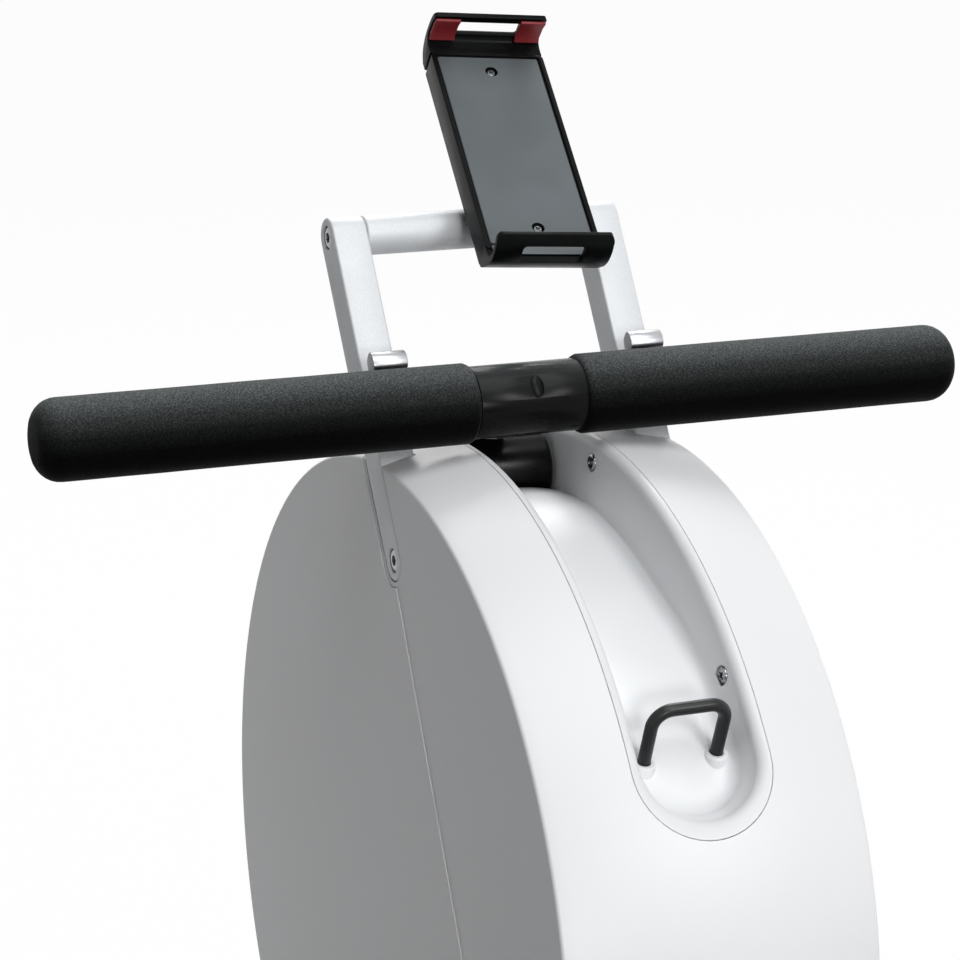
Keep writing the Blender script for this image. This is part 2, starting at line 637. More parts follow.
armFront = Vector((0, -armUp.z, armUp.y))


def rimRadius(x):
    return drum["radius"] + drum["crown"] * (1 - (x / halfWidth) ** 2)


def drumSkin(half):
    points = [(-half, 0.0)]
    turn = []
    for i in range(6):
        a = math.radians(90 * i / 5)
        turn.append((half - drum["edge"] * (1 - math.cos(a)), drum["edge"] * (1 - math.sin(a))))
    points += [(-x, rimRadius(x) - drop) for x, drop in turn]
    points += [(halfWidth * i / 12, rimRadius(halfWidth * i / 12)) for i in range(-11, 12)]
    points += [(x, rimRadius(x) - drop) for x, drop in reversed(turn)]
    return points + [(half, 0.0)]


def drumHollow():
    side = halfWidth - drum["wall"]
    edge = rimRadius(side) - drum["wall"]
    return [(-side, 0.0), (-side, edge), (0.0, rimRadius(0) - drum["wall"]), (side, edge), (side, 0.0)]


def armSide(extra, beyond=0.0):
    head = armHead + armUp * beyond
    return stadiumPoints((armFoot.y, armFoot.z), (head.y, head.z), arm["halfDepth"] + extra)


def partingSide(extra):
    reach = arm["halfDepth"] + arm["pocketGap"] + drum["wall"] + extra
    chordLow = drumCentre + drum["partingLow"]
    chordHigh = Vector((0, armFoot.y - 0.0055, armFoot.z - reach * 0.9))
    run = (chordHigh - chordLow).normalized()
    back = Vector((0, run.z, -run.y)) * extra
    low = chordLow - run * 0.15 + back
    points = [(low.y, low.z), (chordHigh.y + back.y, chordHigh.z + back.z)]
    points += arcPoints(armFoot.y, armFoot.z, reach, -89.5, -arm["lean"], 14)
    top = armFoot + armUp * 0.25 - armFront * reach
    return points + [(top.y, top.z), (drumCentre.y - 0.4, top.z), (drumCentre.y - 0.4, low.z)]


def channelPlan(inset):
    reach = channel["half"] - inset
    perDegree = math.radians(1) * rimRadius(channel["half"])
    low = channel["low"] + channel["endSlope"] * max(inset, 0.0) / perDegree
    high, ends, sides = channel["high"], channel["endSteps"], channel["sideSteps"]
    turns = [math.pi * i / ends for i in range(ends + 1)]
    points = [(reach * math.cos(a), low - reach * math.sin(a) / perDegree) for a in turns]
    points += [(-reach, low + (high - low) * i / sides) for i in range(1, sides)]
    points += [(-reach * math.cos(a), high + reach * math.sin(a) / perDegree) for a in turns]
    points += [(reach, high + (low - high) * i / sides) for i in range(1, sides)]
    return points


def channelFloor(x, angle):
    t = min(1.0, max(0.0, (68.0 - angle) / 27.0))
    return channel["floor"] + channel["floorCrown"] * (1 - (x / channel["half"]) ** 2) \
        + channel["rise"] * t * t * (3 - 2 * t)


def lipRing(share):
    inset = channel["lip"] * share
    drop = channel["lip"] * (1 - math.sqrt(1 - share * share))
    return [drumPoint(rimRadius(x) - drop, angle, x) for x, angle in channelPlan(inset)]


def bowlRise(angle, inset):
    # the floor curls up into the wall, widest at the channel's low end
    t = min(1.0, max(0.0, (66.0 - angle) / 30.0))
    bend = 0.0012 + channel["bowl"] * t * t * (3 - 2 * t)
    near = max(0.0, bend - max(0.0, inset - channel["lip"] - channel["run"]))
    return bend - math.sqrt(bend * bend - near * near)


def wallRing(inset, share, below=0.0):
    ring = []
    for x, angle in channelPlan(inset):
        top = rimRadius(x) - channel["lip"]
        foot = channelFloor(x, angle) + bowlRise(angle, inset)
        ring.append(drumPoint(top + (foot - top) * share - below, angle, x))
    return ring


def fillAcross(form, ring):
    middle, count = channel["endSteps"] // 2, len(ring)
    left = [ring[(middle + k) % count] for k in range(count // 2 + 1)]
    right = [ring[(middle - k) % count] for k in range(count // 2 + 1)]
    for k in range(len(left) - 1):
        form.faces.new(list(dict.fromkeys((left[k], left[k + 1], right[k + 1], right[k]))))


def channelForm():
    lip, wall, steps = channel["lip"], channel["wall"], channel["lipSteps"]
    foot = lip + channel["run"]
    top = [lipRing(math.sin(math.radians(90 * i / steps))) for i in range(steps + 1)]
    top += [wallRing(lip + channel["run"] * share, share) for share in (0.2, 0.4, 0.6, 0.8)]
    top += [wallRing(foot + inset, 1.0) for inset in channel["floorInsets"]]
    skirt = [drumPoint(rimRadius(x) - channel["skirt"], angle, x) for x, angle in channelPlan(0.0)]
    under = [skirt, wallRing(lip - wall, 0.0, 0.0045), wallRing(foot - wall, 1.0, wall - 0.001)]
    under += [wallRing(foot + inset, 1.0, wall) for inset in channel["underInsets"]]
    form = bmesh.new()
    chain = [[form.verts.new(point) for point in ring] for ring in list(reversed(under)) + top]
    joinRings(form, chain)
    fillAcross(form, chain[0])
    fillAcross(form, chain[-1])
    return form


def slotCutter(grow):
    form = bmesh.new()
    rings = [[form.verts.new(drumPoint(drum["radius"] + out, angle, x)) for x, angle in channelPlan(-grow)]
             for out in (-0.020, 0.030)]
    joinRings(form, rings)
    fillAcross(form, rings[0])
    fillAcross(form, rings[1])
    return form


def roundedPlan(width, height, radius, steps=5, cu=0.0, cv=0.0):
    points = []
    for u, v, start in ((1, 1, 0), (-1, 1, 90), (-1, -1, 180), (1, -1, 270)):
        points += arcPoints(cu + u * (width / 2 - radius), cv + v * (height / 2 - radius), radius, start,
                            start + 90, steps)
    return points


def boxThrough(plan, low, high, axis):
    form = bmesh.new()
    order = {"Y": lambda u, v, w: (u, w, v), "Z": lambda u, v, w: (u, v, w)}[axis]
    rings = [[form.verts.new(order(u, v, w)) for u, v in plan] for w in (low, high)]
    joinRings(form, rings)
    form.faces.new(rings[0])
    form.faces.new(rings[1])
    return form


def makeDrumShell(name, front):
    half = halfWidth if front else halfWidth + drum["proud"]
    cover = solidFrom(name, turnAboutX(drumSkin(half), drum["steps"], drumCentre))
    hollow = solidFrom("hollow", turnAboutX(drumHollow(), drum["steps"], drumCentre))
    pocket = drum["armPocket"]
    for side in (-1, 1):
        carve(hollow, prismAlongX(armSide(arm["pocketGap"] + drum["wall"], 0.08), side * (pocket - drum["wall"]),
                                  side * (halfWidth + 0.02)))
    carve(cover, hollow)
    for side in (-1, 1):
        carve(cover, prismAlongX(armSide(arm["pocketGap"], 0.08), side * pocket, side * (halfWidth + 0.02)))
    carve(cover, slotCutter(drum["channelGap"]))
    if front:
        carve(cover, prismAlongX(partingSide(0.0), -0.12, 0.12), "INTERSECT")
        opening = roundedPlan(*drum["frontOpening"])
        carve(cover, boxThrough(opening, drumCentre.y - 0.26, drumCentre.y - 0.12, "Y"))
    else:
        carve(cover, prismAlongX(partingSide(drum["seam"]), -0.12, 0.12))
        opening = roundedPlan(*drum["rearOpening"], drumCentre.y)
        carve(cover, boxThrough(opening, 0.05, drumCentre.z - drum["radius"] * 0.8, "Z"))
    return cover


finish(makeDrumShell("frontDrumShell", True), mouldedAbs, "frame", "front_cover")
finish(makeDrumShell("rearDrumShell", False), mouldedAbs, "frame", "rear_cover")
print("drum shells moulded")

# the wire loop stands on two low bosses at the channel's low end and leans forward
hoop = {"rod": 0.0031, "spread": 0.0184, "rise": 0.0310, "bend": 0.009, "bossRadius": 0.0058, "bossRise": 0.0022,
        "socket": 0.0030}
roller = {"half": 0.0256, "radius": 0.0196, "shoulder": 0.0030, "bore": 0.0063, "gap": 0.0034, "endGap": 0.0008}
hoopFoot = drumPoint(0.2165, 35.2)
hoopLean = Vector((0, -0.367, 0.930)).normalized()
hoopTurn = Matrix.Rotation(math.atan2(0.367, 0.930), 4, "X")


def standOnHoopLine(form, x):
    return moved(form, Matrix.Translation(hoopFoot + Vector((x, 0, 0))) @ hoopTurn)


def makeChannelMoulding():
    moulding = solidFrom("channelMoulding", channelForm())
    middle, half = (rollerCentre.y, rollerCentre.z), roller["half"] + roller["endGap"]
    window = stadiumPoints(middle, (middle[0], middle[1] - 0.035), roller["radius"] + roller["gap"], 40)
    carve(moulding, prismAlongX(window, -half, half))
    drill(moulding, rollerCentre, roller["bore"], -0.05, 0.05, 48)
    for side in (-1, 1):
        x = side * hoop["spread"]
        high, r = hoop["bossRise"], hoop["bossRadius"]
        boss = [(0.0, -0.005), (r, -0.005), (r, high - 0.0012), (r - 0.0003, high - 0.0005), (r - 0.0009, high),
                (0.0, high)]
        carve(moulding, standOnHoopLine(turnProfile(boss, 40), x), "UNION")
        hole = [(0.0, high - hoop["socket"]), (hoop["rod"] + 0.0003, high - hoop["socket"]),
                (hoop["rod"] + 0.0003, high + 0.01), (0.0, high + 0.01)]
        carve(moulding, standOnHoopLine(turnProfile(hole, 32), x))
        for angle in channel["screwAngles"]:
            place, (near, far) = drumPoint(channel["screwRadius"], angle), channel["recessReach"]
            drill(moulding, place, channel["recess"], side * near, side * far, 36)
    return moulding


finish(makeChannelMoulding(), channelAbs, "frame", "channel_insert", smoothAngle=32)
print("channel moulded")


def makeHoop():
    path = [hoopFoot + hoopLean * (hoop["bossRise"] - hoop["socket"] + 0.0003) - Vector((hoop["spread"], 0, 0))]
    for i in range(15):
        a = math.radians(90 * i / 14)
        across = -hoop["spread"] + hoop["bend"] * (1 - math.cos(a))
        along = hoop["rise"] - hoop["bend"] * (1 - math.sin(a))
        path.append(hoopFoot + hoopLean * along + Vector((across, 0, 0)))
    path += [Vector((-p.x, p.y, p.z)) for p in reversed(path)]
    front = Vector((1, 0, 0)).cross(hoopLean)
    return solidFrom("wireHoopRod", sweep(path, circlePoints(hoop["rod"], 28), front))


finish(makeHoop(), hoopCoat, "frame", "wire_hoop")


def makeGuideRoller():
    # a turned barrel with rounded shoulders and a bore for its axle
    half = [(-roller["half"], roller["bore"])] + roundedCorner(roller["half"], roller["radius"], roller["shoulder"])
    return solidFrom("guideRollerBarrel", turnAboutX(mirrored(half), 96, rollerCentre, hollow=True))


finish(makeGuideRoller(), rollerAcetal, "guide_roller", "guide_roller")

# each dimple: its angle round the tube, how far it lies across from the middle, and its half height
handle = {"sleeve": 0.0285, "end": 0.2340, "thick": 0.0180, "thin": 0.0130, "lip": 0.0006, "dimpleOut": 0.0192,
          "dimples": ((148, 0.0016, 0.0076), (250, 0.0, 0.0038))}


def makeHandleTube():
    sleeve, end, thick, lip = handle["sleeve"], handle["end"], handle["thick"], handle["lip"]
    half = [(-end, 0.0), (-end, handle["thin"]), (-sleeve, handle["thin"]), (-sleeve, thick - lip),
            (-sleeve + lip * 0.3, thick - lip * 0.3), (-sleeve + lip, thick)]
    tube = solidFrom("handleCentreTube", turnAboutX(mirrored(half), 96, handleCentre))
    for angle, across, tall in handle["dimples"]:
        a = math.radians(angle)
        ball = bmesh.new()
        bmesh.ops.create_uvsphere(ball, u_segments=36, v_segments=24, radius=1)
        middle = handleCentre + Vector((across, math.cos(a) * handle["dimpleOut"], math.sin(a) * handle["dimpleOut"]))
        carve(tube, moved(ball, Matrix.Translation(middle) @ Matrix.Rotation(a, 4, "X")
                          @ Matrix.Diagonal((0.0036, 0.0038, tall, 1))))
    return tube


finish(makeHandleTube(), blackTube, "handle", "handle_tube", bevel=0.0004)
print("hoop, roller and handle tube made")


def makeArm(name, side):
    made = solidFrom(name, prismAlongX(armSide(0.0), side * arm["inner"], side * halfWidth))
    breakEdges(made, arm["edge"], 3, 60)
    outside = side * (halfWidth + 0.01)
    for place in (armFoot, armHead):
        drill(made, place, arm["bore"], side * (arm["inner"] - 0.01), outside, 24)
        drill(made, place, arm["recess"], side * (halfWidth - arm["deep"]), outside, 45)
    return made


def makeCrossbar():
    end, outer, edge = arm["inner"] - 0.0003, arm["halfDepth"], 0.0006
    half = [(-end, arm["bore"]), (-end, outer - edge), (-end + edge, outer)]
    return solidFrom("crossTube", turnAboutX(mirrored(half), 96, armHead, hollow=True))


# the rest's nose is drawn back and up from the handle's middle, in millimetres
rest = {"cradle": 0.0203, "slot": 0.0052, "inset": 0.0002,
        "nose": [(19.9, 4.2), (23.4, 8.3), (25.0, 11.8), (23.3, 15.1), (22.7, 17.4), (23.9, 20.6), (26.4, 22.6),
                 (29.1, 23.1), (31.2, 21.4), (32.9, 18.0)]}


def makeRest(name, side):
    hub, face, slot = handleCentre, arm["halfDepth"] + 0.0003, rest["slot"]
    points = arcPoints(hub.y, hub.z, rest["cradle"], -58, 12, 32)
    points += [(hub.y + back / 1000, hub.z + up / 1000) for back, up in curveThrough(rest["nose"], 6)[1:]]
    for along, front in ((0.0790, face + slot), (0.0755, face + slot * 0.75), (0.0740, face + slot * 0.3),
                         (0.0735, face), (0.0560, face)):
        place = armFoot + armUp * along + armFront * front
        points.append((place.y, place.z))
    points.append((hub.y + 0.0128, hub.z - 0.0215))
    return solidFrom(name, prismAlongX(points, side * (arm["inner"] + rest["inset"]),
                                       side * (halfWidth - rest["inset"])))


for side, hand in sides:
    finish(makeArm("supportArm" + hand, side), silverCoat, "frame", "arm_" + hand.lower())
    finish(makeRest("handleRestFin" + hand, side), restAluminium, "frame",
           "handle_rest_" + hand.lower(), bevel=0.0006)
finish(makeCrossbar(), silverCoat, "frame", "crossbar")
print("arms, rests and cross tube made")


def roundedCopy(node, name, material, body, slotName, bevel):
    # the CAD's own shape with its flat faces merged and its edges broken, as moulded or filed
    form = bmesh.new()
    form.from_mesh(nodes[node].data)
    moved(form, nodes[node].matrix_world)
    bmesh.ops.remove_doubles(form, verts=form.verts, dist=1e-6)
    bmesh.ops.dissolve_limit(form, angle_limit=math.radians(0.4), verts=form.verts, edges=form.edges)
    return finish(solidFrom(name, form), material, body, node, bevel)


roundedNodes = [
    ("jaw_pad_left", "jawPadLeft", redSilicone, "tablet_jaw", "red_rubber", 0.0004),
    ("jaw_pad_right", "jawPadRight", redSilicone, "tablet_jaw", "red_rubber", 0.0004),
    ("rail_end_cap", "railEndCap", polypropylene, "frame", "black_plastic", 0.0010),
    ("base_frame", "baseTube", blackCoat, "frame", "black_steel", 0.0012),
    ("rear_leg", "rearLegWeldment", blackCoat, "frame", "black_steel", 0.0012),
    ("foot_bracket", "footBracketBar", blackCoat, "frame", "black_steel", 0.0008),
    ("seat_carriage", "seatCarriagePress", zincSteel, "seat", "zinc_steel", 0.0005),
    ("rail", "railExtrusion", anodised, "frame", "anodised_aluminium", 0.0008),
]
for hand in ("left", "right"):
    for node, body, bevel in (("footplate_", "frame", 0.0012), ("heel_cup_", "heel_cup_" + hand, 0.0009),
                              ("front_cap_", "frame", 0.0008), ("rear_cap_", "frame", 0.0012)):
        roundedNodes.append((node + hand, node.replace("_", "") + hand.capitalize(), polypropylene, body,
                             "black_plastic", bevel))
for row in roundedNodes:
    roundedCopy(*row)
print("edges of the frame, rail, caps and footplates rounded")


# a tyre on a moulded hub, turned finer than the CAD's
wheel = {"radius": 0.026, "half": 0.009, "bore": 0.0043, "hub": 0.0165, "round": 0.0034, "groove": 0.0006}
seatWheel = {"radius": 0.017, "half": 0.007, "bore": 0.0043, "hub": 0.0095, "round": 0.0022, "groove": 0.0}


def tyreProfile(size):
    radius, groove = size["radius"], size["groove"]
    side = [(-size["half"], size["hub"] + 0.0002)] + roundedCorner(size["half"], radius, size["round"])
    if groove > 0:
        side += [(-0.0022, radius), (-0.0018, radius - groove), (-0.0008, radius - groove), (-0.0004, radius)]
    return mirrored(side)


def hubProfile(size):
    half, outer = size["half"], size["hub"]
    side = [(-half + 0.0002, size["bore"]), (-half + 0.0002, size["bore"] + 0.0016),
            (-half + 0.0016, size["bore"] + 0.0020), (-half + 0.0016, outer - 0.0018),
            (-half + 0.0004, outer - 0.0014), (-half + 0.0004, outer)]
    return mirrored(side)


def makeWheel(node, size, tyre, hubMaterial):
    # each wheel is a body of its own, named as its node
    corners = [nodes[node].matrix_world @ Vector(corner) for corner in nodes[node].bound_box]
    centre = sum(corners, Vector()) / 8
    plain = "".join(word.capitalize() for word in node.split("_"))
    rim = solidFrom("tyre" + plain, turnAboutX(tyreProfile(size), 72, centre, hollow=True))
    finish(rim, tyre, node, node)
    middle = solidFrom("hub" + plain, turnAboutX(hubProfile(size), 56, centre, hollow=True))
    finish(middle, hubMaterial, node)


for hand in ("left", "right"):
    makeWheel("transport_wheel_" + hand, wheel, tyreRubber, polypropylene)
    for fore in ("front", "back"):
        makeWheel("seat_roller_%s_%s" % (fore, hand), seatWheel, rollerUrethane, zincSteel)
print("wheels and seat rollers turned")

footPlace = Vector((0, 0.395, 0.211))
bolts = {"leg": (0.0245, -0.915, 0.2297), "legApart": 0.043, "railCap": (0.0382, -0.990, 0.265),
         "bracketEnd": 0.156}
for side, hand in sides:
    for label, place in (("Foot", armFoot), ("Head", armHead)):
        spot = place + Vector((side * (halfWidth - arm["deep"]), 0, 0))
        putScrew("arm" + label + "Screw" + hand, "armScrew", chrome, spot, (side, 0, 0), "frame", 15)
    for k, angle in enumerate(channel["screwAngles"]):
        spot = drumPoint(channel["screwRadius"], angle, side * 0.0295)
        putScrew("channelScrew%s%d" % (hand, k + 1), "wallScrew", chrome, spot, (-side, 0, 0), "frame", 20 + 30 * k)
    x, y, z = bolts["leg"]
    for k, along in enumerate((-1, 1)):
        spot = Vector((side * x, y + along * bolts["legApart"], z))
        putScrew("legBolt%s%d" % (hand, k + 1), "buttonScrew", blackOxide, spot, (0, 0, -1), "frame")
    x, y, z = bolts["railCap"]
    spot = Vector((side * x, y, z))
    putScrew("railCapScrew" + hand, "wallScrew", chrome, spot, (side, 0, 0), "frame", 40)
    spot = footPlace + Vector((side * bolts["bracketEnd"], 0, 0))
    putScrew("bracketEndScrew" + hand, "buttonScrew", blackOxide, spot, (side, 0, 0), "frame")
under = Vector((0, math.cos(math.radians(250)), math.sin(math.radians(250))))
putScrew("sleeveScrew", "grubScrew", blackOxide, handleCentre + under * 0.0162, under, "handle")
print("drum and arm screws placed")

# the tablet's tray leans back and rolls a little to one side, as in the photograph
tray = {"lean": 51.3, "roll": -5.4, "x": 0.0213, "width": 0.062, "length": 0.1388, "depth": 0.0139,
        "wall": 0.0024, "below": 0.0454, "standoff": 0.0185, "sheetInset": 0.0009, "sheetThick": 0.0007,
        "sheetHole": 0.0034, "floor": 0.0012, "screws": (("Upper", 0.0807), ("Lower", -0.0307))}
leanAngle = math.radians(tray["lean"])
trayOut = Vector((0, -math.cos(leanAngle), math.sin(leanAngle)))
trayPlace = Matrix.Translation(Vector((tray["x"], armHead.y, armHead.z)) + trayOut * tray["standoff"]) \
    @ Matrix.Rotation(math.radians(90 - tray["lean"]), 4, "X") @ Matrix.Rotation(math.radians(tray["roll"]), 4, "Z")


def inTray(form):
    return moved(form, trayPlace)


def trayBox(plan, low, high, axis):
    return inTray(boxThrough(plan, low, high, axis))


def cornerCutter(side, tip, radius, near, far):
    # takes the square corner off a lip that stands up to a height, at one side
    half, room = tray["width"] / 2, 0.002
    plan = [(side * (half + room), tip + room), (side * (half - radius), tip + room)]
    plan += [(side * (half - radius + radius * math.sin(math.radians(a))),
              tip - radius + radius * math.cos(math.radians(a))) for a in range(0, 91, 9)]
    plan.append((side * (half + room), tip - radius))
    return boxThrough(plan, near, far, "Y")


# a lip's outline runs past its end of the tray and forwards from the tray's back, in millimetres
ledge = {"root": [(-3.0, 1.0), (-3.0, 13.0)], "tip": 0.0323, "corner": 0.0040,
         "outer": [(0.2, 0.6), (2.2, 2.0), (5.2, 6.0), (8.2, 10.6), (10.2, 16.4), (10.4, 22.5), (9.2, 27.8),
                   (7.6, 32.4)],
         "inner": [(5.0, 31.8), (6.6, 27.0), (7.6, 22.3), (7.4, 17.4), (5.0, 13.6)],
         "slot": (0.033, 0.0120, 0.0022, 5, 0, 0.0198)}
jaw = {"root": [(0.6, 0.4), (0.6, 13.2)], "tip": 0.0331, "corner": 0.0024,
       "outer": [(5.6, 0.4), (10.4, 4.4), (12.8, 10.6), (13.4, 17.8), (12.6, 26.0), (10.2, 33.0)],
       "inner": [(7.8, 32.2), (9.9, 25.6), (10.6, 18.2), (9.0, 14.6), (5.5, 13.4)],
       "slot": (0.036, 0.0095, 0.0014, 4, 0, 0.0224), "tongue": (0.024, 0.0034, 0.0003, 1, 0, 0.0046),
       "guide": (0.0246, 0.0040, 0.0003, 1, 0, 0.0046)}
trayLow, trayHigh = -tray["below"], tray["length"] - tray["below"]


def makeLip(name, lip, base):
    half, sign = tray["width"] / 2, math.copysign(1, base)
    points = lip["root"][:1] + curveThrough(lip["outer"]) + curveThrough(lip["inner"]) + lip["root"][1:]
    outline = [(base + sign * along / 1000, out / 1000) for along, out in points]
    body = solidFrom(name, inTray(prismAlongX(outline, -half, half)))
    near, far = sorted((base + sign * 0.004, base + sign * 0.02))
    for side in (-1, 1):
        carve(body, inTray(cornerCutter(side, lip["tip"], lip["corner"], near, far)))
    return body


def makeTrayBody():
    width, length, wall, depth = (tray[key] for key in ("width", "length", "wall", "depth"))
    middle = (trayLow + trayHigh) / 2
    body = solidFrom("tabletTrayBody", trayBox(roundedPlan(width, length, 0.0025, 6, 0, middle), 0.0, depth, "Z"))
    pan = roundedPlan(width - 2 * wall, length - 2 * wall, 0.0015, 4, 0, middle + 0.001)
    carve(body, trayBox(pan, depth - tray["floor"], depth + 0.01, "Z"))
    carve(body, makeLip("ledge", ledge, trayLow), "UNION")
    carve(body, trayBox(roundedPlan(*ledge["slot"]), trayLow - 0.016, trayLow - 0.0040, "Y"))
    carve(body, trayBox(roundedPlan(*jaw["guide"]), trayHigh - 0.063, trayHigh + 0.01, "Y"))
    for _, along in tray["screws"]:
        hole = arcPoints(0, along, 0.0031, 0, 352, 44)
        carve(body, trayBox(hole, depth - 0.0046, depth + 0.002, "Z"))
    return body


def makeJawBody():
    body = makeLip("tabletJawBody", jaw, trayHigh)
    carve(body, trayBox(roundedPlan(*jaw["tongue"]), trayHigh - 0.062, trayHigh + 0.003, "Y"), "UNION")
    return carve(body, trayBox(roundedPlan(*jaw["slot"]), trayHigh + 0.0065, trayHigh + 0.018, "Y"))


clamp = {"hub": Vector((tray["x"], armHead.y, armHead.z)), "half": 0.0130, "radius": 0.0155, "bore": 0.0104,
         "stem": 0.0095, "stemLow": -0.0070, "boss": 0.0072, "bossHigh": 0.0184}


def makeClampBody():
    # a moulded collar round the cross tube, with a flat behind for its set screw
    half, radius, bore, boss, high = (clamp[key] for key in ("half", "radius", "bore", "boss", "bossHigh"))
    collar = [(-half, bore), (-half, radius - 0.0015), (-half + 0.0005, radius - 0.0005), (-half + 0.0015, radius)]
    body = solidFrom("tabletClampBody", turnAboutX(mirrored(collar), 72, clamp["hub"], hollow=True))
    low, stem = clamp["stemLow"], clamp["stem"]
    carve(body, inTray(turnProfile([(0.0, low), (stem, low), (stem, -0.0003), (0.0, -0.0003)], 48)), "UNION")
    button = [(0.0, 0.0120), (boss, 0.0120), (boss, high - 0.0008), (boss - 0.0008, high), (0.0, high)]
    carve(body, aim(turnProfile(button, 48), clamp["hub"], -trayOut), "UNION")
    return carve(body, turnAboutX([(-0.03, 0.0), (-0.03, bore), (0.03, bore), (0.03, 0.0)], 72, clamp["hub"]))


finish(makeTrayBody(), trayAbs, "tablet_tray", "tablet_tray", bevel=0.0006, segments=3)
finish(makeJawBody(), trayAbs, "tablet_jaw", "tablet_jaw", bevel=0.0006, segments=3)
finish(makeClampBody(), trayAbs, "tablet_clamp", "tablet_clamp")

# the sheet's short lower leg lines the ledge's floor and shows through its slot
shelfPlan = roundedPlan(0.0560, 0.0056, 0.0008, 3, 0, -tray["below"] - 0.0014)
finish(solidFrom("trayShelfSheet", trayBox(shelfPlan, 0.01395, 0.0145, "Z")), panSheet, "tablet_tray",
       bevel=0.00015)


def makePanPlate():
    width = tray["width"] - 2 * tray["wall"] - 2 * tray["sheetInset"]
    length = tray["length"] - 2 * tray["wall"] - 2 * tray["sheetInset"]
    middle = tray["length"] / 2 - tray["below"] + 0.001
    floor = tray["depth"] - tray["floor"]
    form = bmesh.new()
    outer = roundedPlan(width, length, 0.0012)
    inner = roundedPlan(width - 0.0008, length - 0.0008, 0.0009)
    low = [form.verts.new((x, middle + y, floor)) for x, y in outer]
    edge = [form.verts.new((x, middle + y, floor + tray["sheetThick"] * 0.6)) for x, y in outer]
    top = [form.verts.new((x, middle + y, floor + tray["sheetThick"])) for x, y in inner]
    joinRings(form, [low, edge, top])
    holes = [[form.verts.new((x, along + y, floor + tray["sheetThick"]))
              for x, y in circlePoints(tray["sheetHole"], 20)] for _, along in tray["screws"]]
    pairs = [(a, b) for ring in [top] + holes for a, b in zip(ring, ring[1:] + ring[:1])]
    edges = [form.edges.get(pair) or form.edges.new(pair) for pair in pairs]
    bmesh.ops.triangle_fill(form, use_beauty=True, use_dissolve=False, edges=edges)
    newPiece("trayBackSheet", inTray(form), panSheet, "tablet_tray", 30)


makePanPlate()
for label, along in tray["screws"]:
    spot = trayPlace @ Vector((0, along, tray["depth"] - 0.0030))
    putScrew("trayScrew" + label, "trayScrew", chrome, spot, trayOut, "tablet_tray", 25)
behind = clamp["hub"] - trayOut * (clamp["bossHigh"] - 0.0001)
putScrew("clampSetScrew", "buttonScrew", blackOxide, behind, -trayOut, "tablet_clamp")
print("tablet holder dressed")

# the CAD's foam sleeves, turned finer and with the foam's slight waviness
grip = {"radius": 0.0200, "inner": 0.0288, "leftEnd": 0.2468, "rightEnd": 0.2400, "nose": 0.0125, "steps": 72,
        "rows": 46, "bore": 0.0133, "blind": 0.0048, "wavy": 0.00016}


def makeGrip(name, side, node):
    end = grip["leftEnd"] if side < 0 else grip["rightEnd"]
    profile = [(0.0, end)]
    for i in range(1, 9):
        a = math.radians(90 * i / 8)
        profile.append((grip["radius"] - grip["nose"] + grip["nose"] * math.sin(a),
                        end - grip["nose"] + grip["nose"] * math.cos(a)))
    for i in range(1, grip["rows"]):
        share = i / grip["rows"]
        profile.append((grip["radius"], (end - grip["nose"]) * (1 - share) + (grip["inner"] + 0.0022) * share))
    profile += [(grip["radius"], grip["inner"] + 0.0022), (grip["radius"] - 0.0007, grip["inner"] + 0.0007),
                (grip["radius"] - 0.0022, grip["inner"]), (grip["bore"], grip["inner"]),
                (grip["bore"], end - grip["blind"]), (0.0, end - grip["blind"])]
    form = turnProfile(profile, grip["steps"])
    for vert in form.verts:
        flat = Vector((vert.co.x, vert.co.y, 0))
        if flat.length > 0.008:
            swell = noise.noise(Vector((vert.co.x * 60, vert.co.y * 60, vert.co.z * 40 + side * 7)))
            vert.co -= flat.normalized() * grip["wavy"] * (0.5 + 0.5 * swell)
    made = newPiece(name, aim(form, handleCentre, (side, 0, 0)), gripFoam, "handle", 60, node)


makeGrip("foamGripLeft", -1, "grip_left")
makeGrip("foamGripRight", 1, "grip_right")
print("foam grips made")


def bandAlong(path, side, width, thickness):
    # a flat woven band with rounded edges
    out = (width - thickness) / 2
    outline = arcPoints(out, 0, thickness / 2, -90, 90, 3) + arcPoints(-out, 0, thickness / 2, 90, 270, 3)
    return sweep(path, outline, side)


def makePullStrap():
    # from under the handle over the roller and down to the wound spool
    strap = {"width": 0.025, "thickness": 0.0016, "gap": 0.0003, "wound": 0.0371, "leaves": 106, "wraps": 104}
    ride = roller["radius"] + strap["gap"] + strap["thickness"] / 2

    def onRoller(angle):
        a = math.radians(angle)
        return rollerCentre + Vector((handleCentre.x, ride * math.cos(a), ride * math.sin(a)))

    under = handle["thick"] + 0.0006 + strap["thickness"] / 2
    start = Vector((handleCentre.x, handleCentre.y + 0.0035, handleCentre.z - under))
    leave = onRoller(strap["leaves"])
    path = [start.lerp(leave, i / 40) for i in range(40)]
    path += [onRoller(strap["leaves"] - strap["wraps"] * i / 26) for i in range(27)]
    end = Vector((handleCentre.x, spoolCentre.y + strap["wound"], spoolCentre.z))
    last = path[-1]
    path += [last.lerp(end, i / 12) for i in range(1, 13)]
    made = newPiece("pullStrapBand", bandAlong(path, Vector((1, 0, 0)), strap["width"], strap["thickness"]),
                    strapWebbing, None, 50, "pull_strap")
    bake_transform(made)


makePullStrap()

foot = {"across": 0.108, "tilt": math.radians(48), "barHalf": 0.014, "boltApart": 0.022, "boltRise": 0.0128}
footUp = Vector((0, math.cos(foot["tilt"]), math.sin(foot["tilt"])))
footOut = Vector((0, -footUp.z, footUp.y))


def footPoint(x, along, out):
    p = footPlace + footOut * (foot["barHalf"] + 0.0003 + out) + footUp * along
    return Vector((x, p.y, p.z))


